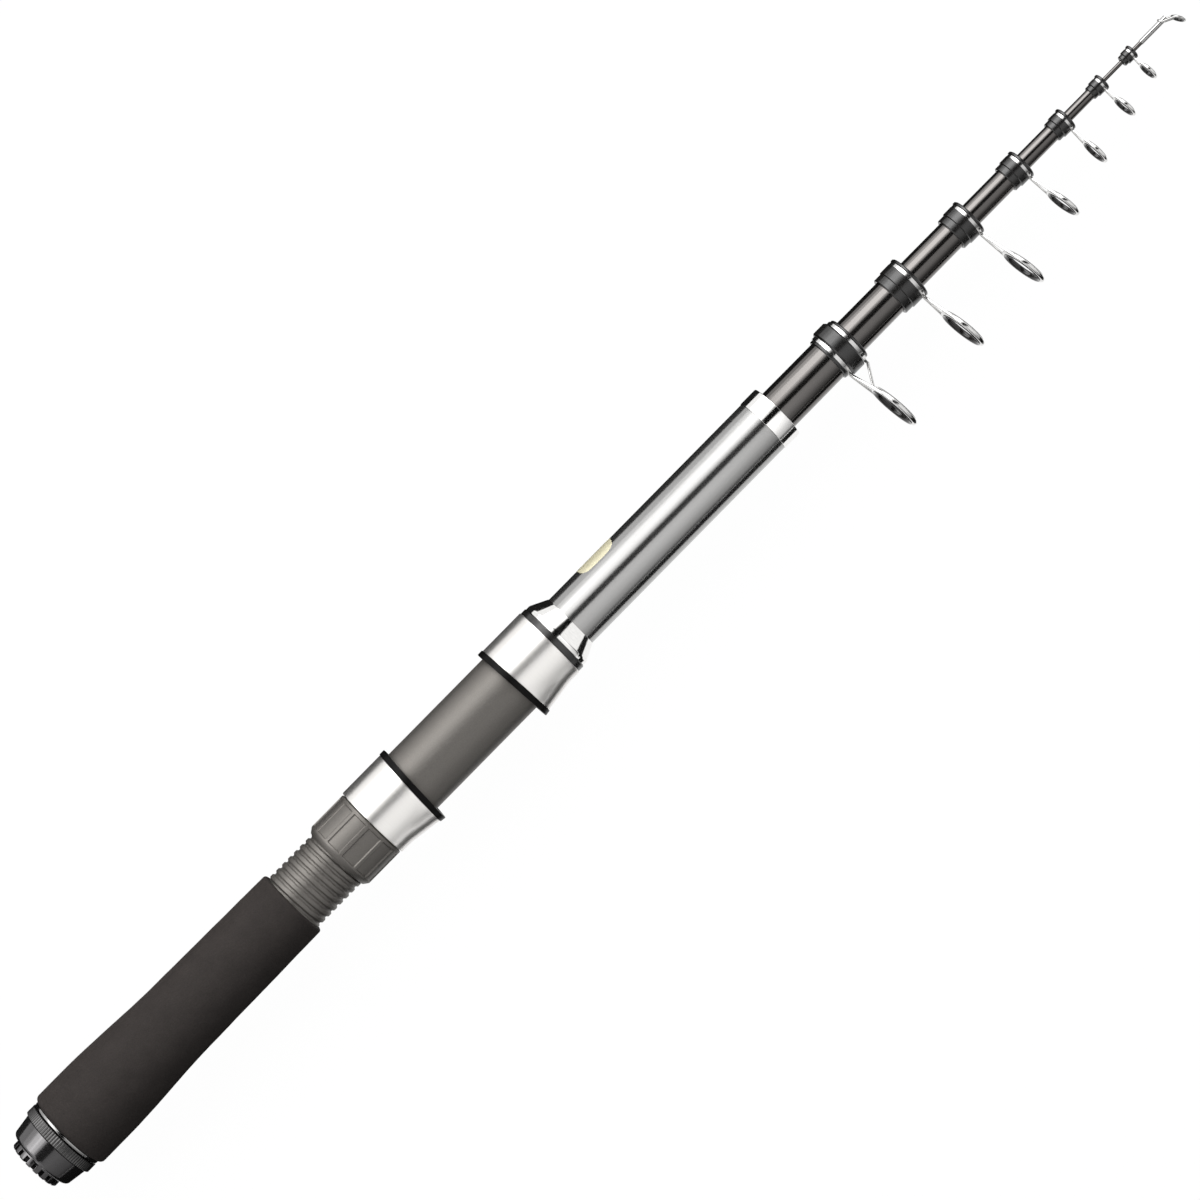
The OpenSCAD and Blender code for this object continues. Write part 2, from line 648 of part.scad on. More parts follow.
// Guide frame: band, two struts that meet the hoop as tangents, and the hoop
// The first guide also has a brace, which rises from a second band, bends and meets the hoop's crest
module guide_frame(k) {
    hoop = hoop_r(k);
    wire = wire_r(k);
    sunk = band_wall / 2;
    meet = touch([strut_spread, hoop_drop(k) + sunk], hoop);
    brace_z = front_band_z(1) + band_length(1) / 2;
    elbow = [0, -wide_sleeve_r - strut_r(1), brace_z];
    color("#d9d7d5") lay() difference() {
        union() {
            ring(guide_z(k) - band_length(k) / 2, guide_z(k) + band_length(k) / 2,
                band_r(k), collar_bore_r(k));
            if (k == 1) {
                ring(front_band_z(1), front_band_z(1) + band_length(1), band_r(1), collar_bore_r(1));
                bar([0, sunk - band_r(1), brace_z], elbow, strut_r(1));
                translate(elbow) sphere(r = strut_r(1) + fit);
                bar(elbow, on_hoop(1, [0, hoop]), strut_r(1));
            }
            at_hoop(k) rotate_extrude() translate([hoop, 0]) circle(r = wire);
            for (side = [-1, 1])
                bar([side * strut_spread, sunk - band_r(k), guide_z(k)],
                    on_hoop(k, [side * meet.x, meet.y]), strut_r(k));
        }
        at_hoop(k) translate([0, 0, -far / 4]) cylinder(h = far / 2, r = seat_in_hoop(hoop, wire));
        translate([0, 0, collar_z(k)]) cylinder(h = collar_length(k), r = collar_bore_r(k));
    }
}

// Hard ring with a half-round inside, seated in its hoop
module hard_ring(seat_r, depth) {
    rotate_extrude() intersection() {
        translate([seat_r, 0]) circle(r = depth);
        translate([0, -depth]) square([seat_r, 2 * depth]);
    }
}

module guide_ring(k) {
    color("#1b1a1c") lay() at_hoop(k)
        hard_ring(seat_in_hoop(hoop_r(k), wire_r(k)) - fit, ring_depth(k));
}

// Solid tip, stepped down at its end for the tip ring's tube
module tip_rod() {
    color("#4c4743") lay() rotate_extrude() polygon([
        [0, foot_z(tip)], [foot_r(tip), foot_z(tip)], [top_r(tip), tip_tube_z],
        [tip_end_d / 2, tip_tube_z], [tip_end_d / 2, tip_tube_z + tip_tube_len - over],
        [0, tip_tube_z + tip_tube_len - over]
    ]);
}

module at_tip_hoop() {
    translate([0, -tip_reach, tip_hoop_z]) rotate([-tip_lean, 0, 0]) children();
}

// Tip ring frame: a tube, and a wire bent over the tube that carries the hoop on two arms
module tip_top_frame() {
    wire = tip_wire_d / 2;
    hoop = tip_hoop_d / 2 - wire;
    arm = tip_arm_d / 2;
    tube_r = tip_tube_d / 2;
    tube_top_z = tip_tube_z + tip_tube_len;
    bight_r = tube_r + arm / 2;
    bight_z = tube_top_z - 3 * tip_wire_d;
    arm_y = hoop * sin(tip_arm_at);
    color("#d9d7d5") lay() difference() {
        union() {
            translate([0, 0, tip_tube_z + fit]) cylinder(h = tip_tube_len - fit, r = tube_r);
            translate([0, 0, bight_z]) rotate_extrude(angle = 180)
                translate([bight_r, 0]) circle(r = arm);
            at_tip_hoop() rotate_extrude() translate([hoop, 0]) circle(r = wire);
            for (side = [-1, 1])
                bar([side * bight_r, 0, bight_z],
                    [side * hoop * cos(tip_arm_at), arm_y * cos(tip_lean) - tip_reach,
                     tip_hoop_z - arm_y * sin(tip_lean)], arm);
            bar([0, 0, tube_top_z - tube_r],
                [0, hoop * cos(tip_lean) - tip_reach, tip_hoop_z - hoop * sin(tip_lean)], arm);
        }
        at_tip_hoop() translate([0, 0, -tip_tube_d])
            cylinder(h = 2 * tip_tube_d, r = seat_in_hoop(hoop, wire));
        cylinder(h = tube_top_z - over + fit, r = tip_end_d / 2 + fit);
    }
}

module tip_top_ring() {
    wire = tip_wire_d / 2;
    color("#1b1a1c") lay() at_tip_hoop()
        hard_ring(seat_in_hoop(tip_hoop_d / 2 - wire, wire) - fit, tip_ring_wall);
}

butt_cap();
butt_cap_pad();
butt_bush();
butt_trim_ring();
grip();
butt_blank();
reel_seat();
lock_nut();
sliding_hood();
sliding_hood_liner();
fixed_hood();
fixed_hood_liner();
seat_ring();
winding_check();
blank_ferrule();
for (k = [1 : sections]) {
    section_tube(k);
    sleeve(k);
    end_ring(k);
    guide_frame(k);
    guide_ring(k);
}
tip_rod();
tip_top_frame();
tip_top_ring();
sleeve(tip);  // float_sleeve
end_ring(tip);  // float_end_ring
guide_frame(tip);  // float_guide_frame
guide_ring(tip);  // float_guide_ring
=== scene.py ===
import math

import bmesh
import bpy
from mathutils import Matrix, Vector, noise


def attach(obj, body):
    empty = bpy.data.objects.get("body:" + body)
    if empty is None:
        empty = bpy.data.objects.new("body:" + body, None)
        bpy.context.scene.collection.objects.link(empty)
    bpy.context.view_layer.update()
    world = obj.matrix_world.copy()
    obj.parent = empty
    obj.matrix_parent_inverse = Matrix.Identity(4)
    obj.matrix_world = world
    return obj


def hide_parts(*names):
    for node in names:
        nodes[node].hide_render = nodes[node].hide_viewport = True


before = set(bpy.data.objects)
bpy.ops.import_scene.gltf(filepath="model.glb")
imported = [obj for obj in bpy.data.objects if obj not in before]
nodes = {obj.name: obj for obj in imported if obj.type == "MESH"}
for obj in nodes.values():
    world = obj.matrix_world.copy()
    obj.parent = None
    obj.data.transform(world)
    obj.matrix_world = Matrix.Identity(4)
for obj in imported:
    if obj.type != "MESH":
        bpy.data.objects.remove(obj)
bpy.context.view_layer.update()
scene = bpy.context.scene
MM = 0.001
TURN = 2 * math.pi
QUARTER = TURN / 4


def mm(*values):
    return Vector(values) * MM


def add_object(name, data):
    piece = bpy.data.objects.new(name, data)
    scene.collection.objects.link(piece)
    return piece


def facing(place, right, up, back):
    """The matrix of an object at a place, with its three axes along the given directions."""
    return Matrix.Translation(place) @ Matrix((right, up, back)).transposed().to_4x4()


# Camera: above the lying rod, with the rod running up to the right; its distances are in metres
DISTANCE = 1.17
VIEW_WIDTH = 0.36
SENSOR = 36
CLIP_START = 0.01
CLIP_END = 200
TILT = math.radians(2.4)
RISE = math.radians(45.43)
LOOK_AT = mm(238.3, -1.8, 0)


def make_camera():
    back = Vector((-math.sin(TILT), 0, math.cos(TILT)))
    along = Vector((math.cos(TILT), 0, math.sin(TILT)))
    across = Vector((0, 1, 0))
    right = math.cos(RISE) * along - math.sin(RISE) * across
    up = math.sin(RISE) * along + math.cos(RISE) * across
    data = bpy.data.cameras.new("camera")
    data.sensor_width = SENSOR
    data.lens = SENSOR * DISTANCE / VIEW_WIDTH
    data.clip_start = CLIP_START
    data.clip_end = CLIP_END
    camera = add_object("camera", data)
    camera.matrix_world = facing(LOOK_AT + back * DISTANCE, right, up, back)
    scene.camera = camera


make_camera()
scene.view_settings.view_transform = "Standard"


# Material building blocks
EVEN = (1, 1, 1)
COAT_ROUGHNESS = 0.06


class Nodes:
    """A material's node tree with short ways to add and join nodes."""

    def __init__(self, name):
        self.material = bpy.data.materials.new(name)
        self.material.use_nodes = True
        self.tree = self.material.node_tree
        self.shader = self.tree.nodes["Principled BSDF"]

    def add(self, kind, **settings):
        node = self.tree.nodes.new(kind)
        for key, value in settings.items():
            setattr(node, key, value)
        return node

    def join(self, source, target):
        self.tree.links.new(source, target)

    def set(self, **values):
        for key, value in values.items():
            self.shader.inputs[key.replace("_", " ")].default_value = value

    def use(self, **links):
        for key, source in links.items():
            self.join(source, self.shader.inputs[key.replace("_", " ")])

    def show(self, source):
        """Puts another shader in the place of the principled one."""
        self.tree.nodes.remove(self.shader)
        self.join(source, self.tree.nodes["Material Output"].inputs["Surface"])

    def place(self, scale=EVEN):
        """Object coordinates in millimetres, stretched by scale."""
        coords = self.add("ShaderNodeTexCoord")
        mapping = self.add("ShaderNodeMapping")
        mapping.inputs["Scale"].default_value = [s / MM for s in scale]
        self.join(coords.outputs["Object"], mapping.inputs["Vector"])
        return mapping.outputs["Vector"]

    def noise(self, scale, detail=3, roughness=0.5, stretch=EVEN):
        node = self.add("ShaderNodeTexNoise")
        node.inputs["Scale"].default_value = scale
        node.inputs["Detail"].default_value = detail
        node.inputs["Roughness"].default_value = roughness
        self.join(self.place(stretch), node.inputs["Vector"])
        return node.outputs["Fac"]

    def cells(self, scale):
        node = self.add("ShaderNodeTexVoronoi")
        node.inputs["Scale"].default_value = scale
        self.join(self.place(), node.inputs["Vector"])
        return node.outputs["Distance"]

    def ramp(self, source, low, high, start=0.3, end=0.7):
        """Maps the values from start to end onto the range low to high, or onto two colours."""
        if isinstance(low, (int, float)):
            node = self.add("ShaderNodeMapRange")
            for key, value in (("From Min", start), ("From Max", end), ("To Min", low), ("To Max", high)):
                node.inputs[key].default_value = value
            self.join(source, node.inputs["Value"])
            return node.outputs["Result"]
        node = self.add("ShaderNodeValToRGB")
        first, last = node.color_ramp.elements
        first.position = start
        last.position = end
        first.color = (*low, 1)
        last.color = (*high, 1)
        self.join(source, node.inputs["Fac"])
        return node.outputs["Color"]

    def bump(self, source, height, strength, under=None):
        node = self.add("ShaderNodeBump")
        node.inputs["Distance"].default_value = height * MM
        node.inputs["Strength"].default_value = strength
        self.join(source, node.inputs["Height"])
        if under is not None:
            self.join(under, node.inputs["Normal"])
        return node.outputs["Normal"]


def shade(colour, share):
    return tuple(c * share for c in colour)


def metal(name, colour, roughness, spread, scale, grain=EVEN, mix=1.0, coat=0.0):
    """Polished, satin or brushed metal: roughness and brightness vary with a stretched noise."""
    m = Nodes(name)
    m.set(Metallic=mix, Coat_Weight=coat, Coat_Roughness=COAT_ROUGHNESS)
    streak = m.noise(scale, detail=4, roughness=0.6, stretch=grain)
    m.use(Base_Color=m.ramp(streak, shade(colour, 1 - spread / 3), shade(colour, 1 + spread / 6)),
          Roughness=m.ramp(streak, roughness * (1 - spread), roughness * (1 + spread)))
    return m


# Materials
FOAM_DARK = (0.028, 0.0232, 0.0217)
FOAM_LIGHT = (0.045, 0.039, 0.0362)
SEAT_DARK = (0.145, 0.136, 0.125)
SEAT_LIGHT = (0.185, 0.174, 0.161)
BLACK_DARK = (1, 0.93, 0.9)
BLACK_LIGHT = (1.5, 1.4, 1.35)


def make_foam():
    m = Nodes("foam_skin")
    m.set(Specular_IOR_Level=0.18)
    fine = m.noise(2.6, detail=4, roughness=0.65)
    pits = m.cells(1.5)
    broad = m.noise(0.16, detail=5, roughness=0.62)
    tone = m.add("ShaderNodeMix", data_type="RGBA", blend_type="MULTIPLY")
    tone.inputs["Factor"].default_value = 1.0
    m.join(m.ramp(fine, FOAM_DARK, FOAM_LIGHT), tone.inputs["A"])
    m.join(m.ramp(broad, shade(EVEN, 0.84), shade(EVEN, 1.06)), tone.inputs["B"])
    relief = m.bump(fine, height=0.12, strength=0.6)
    m.use(Base_Color=tone.outputs["Result"],
          Roughness=m.ramp(fine, 0.72, 0.9),
          Normal=m.bump(pits, height=0.16, strength=0.5, under=relief))
    return m.material


def make_blank():
    m = metal("silver_lacquer", (0.375, 0.372, 0.367), roughness=0.17, spread=0.08, scale=1.6,
              grain=(0.05, 1, 1), mix=0.95, coat=0.15)
    m.use(Normal=m.bump(m.noise(9, detail=2), height=0.012, strength=0.25))
    return m.material


def make_seat():
    m = Nodes("graphite_satin")
    grain = m.noise(3.2, detail=4, roughness=0.6)
    m.set(Metallic=0.75)
    m.use(Base_Color=m.ramp(grain, SEAT_DARK, SEAT_LIGHT),
          Roughness=m.ramp(grain, 0.44, 0.54),
          Normal=m.bump(grain, height=0.03, strength=0.35))
    return m.material


def make_black(name, tone, roughness, shine=0.5):
    m = Nodes(name)
    m.set(Specular_IOR_Level=shine)
    grain = m.noise(2.0)
    m.use(Base_Color=m.ramp(grain, shade(BLACK_DARK, tone), shade(BLACK_LIGHT, tone)),
          Roughness=m.ramp(grain, roughness * 0.85, roughness * 1.15),
          Normal=m.bump(m.noise(1.1, detail=2), height=0.02, strength=0.2))
    return m.material


FOAM = make_foam()
BLANK = make_blank()
SEAT = make_seat()
HOOD = metal("satin_aluminium", (0.88, 0.862, 0.835), roughness=0.3, spread=0.06, scale=2.4,
             grain=(1, 0.12, 0.12), mix=0.95).material
SECTION = metal("section_lacquer", (0.143, 0.135, 0.13), roughness=0.15, spread=0.1, scale=1.4,
                grain=(0.06, 1, 1), mix=0.97, coat=0.1).material
BLACK = make_black("collar_black", tone=0.006, roughness=0.24, shine=0.74)
LINER = make_black("liner_black", tone=0.003, roughness=0.36, shine=0.1)
RING = metal("trim_ring_metal", (0.32, 0.317, 0.312), roughness=0.16, spread=0.2, scale=3.0,
             grain=(1, 0.2, 0.2)).material
CHROME = metal("bright_trim", (0.9, 0.89, 0.875), roughness=0.1, spread=0.2, scale=3.0,
               grain=(1, 0.2, 0.2)).material
STEEL = metal("guide_wire", (0.74, 0.735, 0.725), roughness=0.16, spread=0.2, scale=3.0).material
TIP = metal("tip_wire", (0.5, 0.496, 0.488), roughness=0.2, spread=0.2, scale=3.0).material
CAP = metal("cap_gunmetal", (0.112, 0.109, 0.111), roughness=0.15, spread=0.15, scale=2.0,
            grain=(1, 0.3, 0.3), mix=0.9, coat=0.2).material
RIM = metal("cap_rim_metal", (0.09, 0.0885, 0.088), roughness=0.3, spread=0.2, scale=3.0, mix=0.9).material
CERAMIC = make_black("guide_ceramic", tone=0.012, roughness=0.1)
GOLD = metal("gold_foil", (0.84, 0.79, 0.56), roughness=0.35, spread=0.15, scale=1.2, mix=0.35).material

LOOKS = {"butt_cap": CAP, "butt_cap_pad": FOAM, "butt_bush": LINER, "butt_trim_ring": RING, "grip": FOAM,
         "butt_blank": BLANK, "reel_seat": SEAT, "lock_nut": SEAT, "sliding_hood": HOOD,
         "sliding_hood_liner": LINER, "fixed_hood": HOOD, "fixed_hood_liner": LINER, "seat_ring": BLACK,
         "winding_check": CHROME, "blank_ferrule": CHROME, "tip_rod": SECTION, "tip_top_frame": TIP}
ENDINGS = {"_tube": SECTION, "_sleeve": BLACK, "_end_ring": BLACK, "_frame": STEEL, "_ring": CERAMIC}
for name, node in nodes.items():
    look = LOOKS.get(name) or next(m for ending, m in ENDINGS.items() if name.endswith(ending))
    node.data.materials.clear()
    node.data.materials.append(look)


# Mesh building blocks: everything is turned about the rod's axis, in millimetres
WELD = 1e-4
SLIVER = 1e-5
SHARP = math.radians(40)
STRAIGHT = 0.97
CORNER_SHARE = 0.4
CORNER_STEPS = (0, 0.33, 0.67, 1)
FLANK_SLOPE = 2.2
FLANK_START = 0.35


def smooth(t):
    t = min(1.0, max(0.0, t))
    return t * t * (3 - 2 * t)


def ring_points(x, radius, count):
    """A ring about the axis, from +Y towards +Z. x and radius are numbers or functions of the angle."""
    points = []
    for i in range(count):
        a = TURN * i / count
        r = radius(a) if callable(radius) else radius
        along = x(a) if callable(x) else x
        points.append(mm(along, r * math.cos(a), r * math.sin(a)))
    return points


def rings_of(rows, count):
    return [ring_points(x, radius, count) for x, radius in rows]


def quarter_turn(steps):
    return [QUARTER * i / steps for i in range(steps + 1)]


def rising_edge(x, radius, size, steps):
    """Rows of (x, radius) for a rounded edge at the butt end of a piece, from its face at x outwards."""
    return [(x + size * (1 - math.cos(a)), radius - size * (1 - math.sin(a))) for a in quarter_turn(steps)]


def falling_edge(x, radius, size, steps):
    """Rows of (x, radius) for a rounded edge at the tip end of a piece, inwards to its face at x."""
    return [(x - size * (1 - math.sin(a)), radius - size * (1 - math.cos(a))) for a in quarter_turn(steps)]


def thread_r(x, a, start, pitch, crest, depth):
    """Radius of a right-hand thread with rounded crests."""
    phase = ((x - start) / pitch - a / TURN) % 1.0
    flank = 1 - abs(2 * phase - 1)
    return crest - depth * (1 - smooth(flank * FLANK_SLOPE - FLANK_START))


def smooth_object(name, bm):
    """An object from a finished bmesh, with smooth faces that look outwards."""
    bmesh.ops.recalc_face_normals(bm, faces=bm.faces)
    mesh = bpy.data.meshes.new(name)
    bm.to_mesh(mesh)
    bm.free()
    mesh.polygons.foreach_set("use_smooth", [True] * len(mesh.polygons))
    return add_object(name, mesh)


def skin(name, rings, closed=True):
    """A skin over rings of points; closed joins the last ring to the first, as for a tube with a wall."""
    bm = bmesh.new()
    rows = [[bm.verts.new(p) for p in ring] for ring in rings]
    count = len(rows[0])
    for low, high in zip(rows, rows[1:] + rows[:1] if closed else rows[1:]):
        for i in range(count):
            j = (i + 1) % count
            bm.faces.new((low[i], low[j], high[j], high[i]))
    bmesh.ops.remove_doubles(bm, verts=bm.verts, dist=WELD * MM)
    bmesh.ops.dissolve_degenerate(bm, edges=bm.edges, dist=SLIVER * MM)
    piece = smooth_object(name, bm)
    piece.data.set_sharp_from_angle(angle=SHARP)
    weigh = piece.modifiers.new("shade", "WEIGHTED_NORMAL")
    weigh.keep_sharp = True
    return piece


def finish_piece(piece, body, slot, material, *replaced):
    piece.data.materials.append(material)
    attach(piece, body)
    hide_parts(*replaced)
    return piece


def rounded(outline, size):
    """A closed outline of (x, radius) points with its corners rounded."""
    points = [Vector(p) for p in outline]
    out = []
    for i, p in enumerate(points):
        to_last = points[i - 1] - p
        to_next = points[(i + 1) % len(points)] - p
        if abs(to_last.normalized().dot(to_next.normalized())) > STRAIGHT:
            out.append(p)
            continue
        cut = min(size, CORNER_SHARE * to_last.length, CORNER_SHARE * to_next.length)
        start = p + to_last.normalized() * cut
        end = p + to_next.normalized() * cut
        for t in CORNER_STEPS:
            out.append(start.lerp(p, t).lerp(p.lerp(end, t), t))
    return out


# Butt cap: notched crown, smooth taper, fluted rim, screwed spigot with its cup
CAP_COUNT = 720
CROWN_R = 8.7
CROWN_LEN = 2.7
CROWN_FOOT = 0.5
NOTCHES = 18
NOTCH_W = 1.2
NOTCH_DEPTH = 2.4
NOTCH_INSET = 0.6
NOTCH_SLOPE = 0.2
NOTCH_RUN_OUT = 0.1
CAP_END_R = 11.1
CAP_R = 11.9
CAP_LEN = 7.2
CAP_ROUND = 1.6
CAP_ROUND_STEPS = 8
CAP_TOP = CROWN_LEN + CAP_LEN
RIM_R = 12.7
RIM_LEN = 3.3
RIM_BEVEL = 0.35
RIM_MARGIN = 0.05
RIM_FLUTES = 90
FLUTE = 0.16
FLUTE_POWER = 0.6
CAP_FACE = CAP_TOP + RIM_LEN
SPIGOT_R = 8.3
SPIGOT_LEN = 8.8
SPIGOT_PITCH = 1.5
SPIGOT_THREAD = 0.35
SPIGOT_ROWS = 44
SPIGOT_START = 0.2
SPIGOT_ENDS = 0.7
SPIGOT_BEVEL = 0.1
SPIGOT_MARGIN = 1
SPIGOT_END = CAP_FACE + SPIGOT_LEN
CUP_R = 7.0
CUP_BEVEL = 0.2
CUP_WALL = 1
CUP_FLOOR = CAP_FACE + CUP_WALL

# Here and below, a name that ends in EDGE holds pairs: a distance in from an end, and the cut off the radius
CROWN_EDGE = ((0, 0.5), (0.12, 0.22), (0.5, 0))
CAP_TOP_EDGE = ((0.35, 0.03), (0.2, 0.1), (0.1, 0.3), (0, 0.3))

# Pairs of a distance in from each end of the rim and the share of the flutes' depth there
FLUTE_ENDS = ((0.18, 0.4), (0.4, 1))


def make_cap():
    def notch(a):
        step = TURN / NOTCHES
        off = abs((a - QUARTER + step / 2) % step - step / 2) * CROWN_R
        return 1 - smooth((off - NOTCH_W / 2 + NOTCH_SLOPE / 2) / NOTCH_SLOPE)

    def crown(depth, cut=0.0):
        return lambda a: CROWN_R - cut - depth * notch(a)

    def fluted(share):
        return lambda a: RIM_R - FLUTE * share * (0.5 + 0.5 * math.cos(a * RIM_FLUTES)) ** FLUTE_POWER

    def threaded(x):
        return lambda a: thread_r(x, a, CAP_FACE, SPIGOT_PITCH, SPIGOT_R, SPIGOT_THREAD)

    notch_end = CROWN_LEN - CROWN_FOOT
    rows = [(0, 0), (0, CROWN_R - NOTCH_DEPTH - NOTCH_INSET)]
    rows += [(x, crown(NOTCH_DEPTH - cut, cut)) for x, cut in CROWN_EDGE]
    rows += [(notch_end - NOTCH_RUN_OUT, crown(NOTCH_DEPTH)), (notch_end, crown(0)), (CROWN_LEN, CROWN_R)]
    rows += rising_edge(CROWN_LEN, CAP_END_R, CAP_ROUND, CAP_ROUND_STEPS)
    rows += [(CAP_TOP - back, CAP_R - cut) for back, cut in CAP_TOP_EDGE]
    rows += [(CAP_TOP, RIM_R - RIM_BEVEL)]
    rows += [(CAP_TOP + inset, fluted(share)) for inset, share in FLUTE_ENDS]
    rows += [(CAP_FACE - inset, fluted(share)) for inset, share in reversed(FLUTE_ENDS)]
    rows += [(CAP_FACE, RIM_R - RIM_BEVEL), (CAP_FACE, SPIGOT_R - SPIGOT_THREAD)]
    for i in range(SPIGOT_ROWS + 1):
        x = CAP_FACE + SPIGOT_START + (SPIGOT_LEN - SPIGOT_ENDS) * i / SPIGOT_ROWS
        rows.append((x, threaded(x)))
    rows += [(SPIGOT_END, SPIGOT_R - SPIGOT_THREAD - SPIGOT_BEVEL), (SPIGOT_END, CUP_R + CUP_BEVEL),
             (SPIGOT_END - CUP_BEVEL, CUP_R), (CUP_FLOOR, CUP_R), (CUP_FLOOR, 0)]
    piece = skin("cap_shell", rings_of(rows, CAP_COUNT), closed=False)
    finish_piece(piece, "butt_cap", "cap_gunmetal", CAP, "butt_cap")
    piece.data.materials.append(RIM)
    for face in piece.data.polygons:
        middle = face.center / MM
        on_rim = CAP_TOP - RIM_MARGIN < middle.x < CAP_FACE + RIM_MARGIN
        if on_rim and math.hypot(middle.y, middle.z) > SPIGOT_R + SPIGOT_MARGIN:
            face.material_index = 1


make_cap()


# Foam grip and the pad in the cap
GRIP_COUNT = 128
GRIP_X = 14.55
SEAT_X = 109.55
PALM_R = 13.85
PALM_LEN = 10.5
WAIST_R = 12.3
WAIST_AT = 51
GRIP_TOP_R = 11.8
BUTT_ROUND = 1.5
TOP_ROUND = 0.9
GRIP_ROUND_STEPS = 8
BLANK_SEAT_R = 9.23
BUSH_R = 10.41
BUSH_END = 33.03
PAD_COUNT = 64
PAD_PLAY = 0.03
PAD_PROUD = 2.4
PAD_ROUND = 0.8
PAD_ROUND_STEPS = 5
PAD_BACK_SHARES = (0, 0.6)
PAD_FRONT_SHARES = (0.7, 0.35, 0)
FOAM_STEP = 0.8
FOAM_LUMP = 0.05
FOAM_WAVE = 0.11
FOAM_RIPPLE = 0.35
RIPPLE_SHARE = 0.5


def foam_points(x, radius, count):
    """A ring whose radius wanders a little, as cut and sanded foam does."""
    points = []
    for p in ring_points(x, radius, count):
        q = p / MM
        wander = noise.noise(q * FOAM_WAVE) + RIPPLE_SHARE * noise.noise(q * FOAM_RIPPLE)
        outwards = Vector((0, q.y, q.z)).normalized()
        points.append(p - outwards * MM * FOAM_LUMP * (1 + wander))
    return points


def grip_r(x):
    """The grip's radius: straight under the palm, eased down to the waist, then a slight taper."""
    ease_x = GRIP_X + PALM_LEN
    waist_x = GRIP_X + WAIST_AT
    top_x = SEAT_X - TOP_ROUND
    if x < ease_x:
        return PALM_R
    if x < waist_x:
        swing = math.cos(math.pi * (x - ease_x) / (waist_x - ease_x))
        return WAIST_R + (PALM_R - WAIST_R) * (1 + swing) / 2
    return WAIST_R + (GRIP_TOP_R - WAIST_R) * (x - waist_x) / (top_x - waist_x)


def make_grip():
    rows = rising_edge(GRIP_X, PALM_R, BUTT_ROUND, GRIP_ROUND_STEPS)
    x = GRIP_X + BUTT_ROUND
    while x < SEAT_X - TOP_ROUND - FOAM_STEP:
        x += FOAM_STEP
        rows.append((x, grip_r(x)))
    rows += falling_edge(SEAT_X, GRIP_TOP_R, TOP_ROUND, GRIP_ROUND_STEPS)
    bore = [(SEAT_X, BLANK_SEAT_R), (BUSH_END, BLANK_SEAT_R), (BUSH_END, BUSH_R), (GRIP_X, BUSH_R)]
    rings = [foam_points(x, radius, GRIP_COUNT) for x, radius in rows]
    rings += rings_of(bore, GRIP_COUNT)
    piece = finish_piece(skin("grip_foam", rings), "handle", "foam", FOAM, "grip")


def make_pad():
    start = CUP_FLOOR + PAD_PLAY
    end = SPIGOT_END + PAD_PROUD
    radius = CUP_R - PAD_PLAY
    rows = [(start, radius)]
    x = start
    while x < end - PAD_ROUND - FOAM_STEP:
        x += FOAM_STEP
        rows.append((x, radius))
    rows += falling_edge(end, radius, PAD_ROUND, PAD_ROUND_STEPS)[1:]
    rings = rings_of([(start, radius * share) for share in PAD_BACK_SHARES], PAD_COUNT)
    rings += [foam_points(x, r, PAD_COUNT) for x, r in rows]
    rings += rings_of([(end, radius * share) for share in PAD_FRONT_SHARES], PAD_COUNT)
    piece = finish_piece(skin("pad_foam", rings, closed=False), "cap_pad", "foam", FOAM, "butt_cap_pad")


make_grip()
make_pad()


# Reel seat tube with its helical thread
SEAT_COUNT = 128
STEP_X = 153.95
STEP_EDGE = ((0, 0.2), (0.3, 0.06), (0.6, 0))
SEAT_TOP_X = 218.65
SEAT_R = 10.85
SEAT_PITCH = 2.5
THREAD_R = 10.4
THREAD_DEPTH = 0.55
THREAD_RUN_OUT = 0.8
THREAD_ROW = 0.2


def make_seat_tube():
    def threaded(x):
        fade = min(1.0, max(0.0, (STEP_X - THREAD_RUN_OUT - x) / SEAT_PITCH))
        return lambda a: thread_r(x, a, SEAT_X, SEAT_PITCH, THREAD_R, THREAD_DEPTH * fade)

    thread_rows = int(round((STEP_X - SEAT_X) / THREAD_ROW))
    rows = [(SEAT_X, BLANK_SEAT_R)]
    for i in range(thread_rows + 1):
        x = SEAT_X + (STEP_X - SEAT_X) * i / thread_rows
        rows.append((x, threaded(x)))
    rows += [(STEP_X + along, SEAT_R - cut) for along, cut in STEP_EDGE]
    rows += [(SEAT_TOP_X, SEAT_R), (SEAT_TOP_X, BLANK_SEAT_R)]
    piece = skin("seat_tube", rings_of(rows, SEAT_COUNT))
    finish_piece(piece, "handle", "seat_graphite", SEAT, "reel_seat")


make_seat_tube()


# Lock nut: twelve soft ribs between sunk panels, and a snap flange behind the sliding hood's lip
NUT_COUNT = 480
NUT_X = 127.95
NUT_TOP_X = 142.75
NUT_TOP_EDGE = ((0.35, 0), (0.15, 0.07), (0.04, 0.2), (0, 0.35))
NUT_R = 12.05
NUT_BORE_R = 10.5
NUT_NECK_R = 10.88
NUT_FLANGE_R = 11.6
NUT_FLANGE_LEN = 1
NUT_CHAMFER = 1.1
CHAMFER_LEN = 1.6
CHAMFER_EASE = 0.15
CHAMFER_EASE_STEP = 0.1
CHAMFER_EASE_CUT = 0.11
NUT_RIM = 1.1
RIBS = 12
RIB_W = 1.2
RIB_SLOPE = 0.3
PANEL_DEPTH = 0.4
PANEL_SLOPE = 0.3
PANEL_STEPS = (0.25, 0.5, 0.75, 1)
HOOD_X = 143.05
HOOD_LEN = 17.2
LIP_LEN = 0.8
LIP_PLAY = 0.1


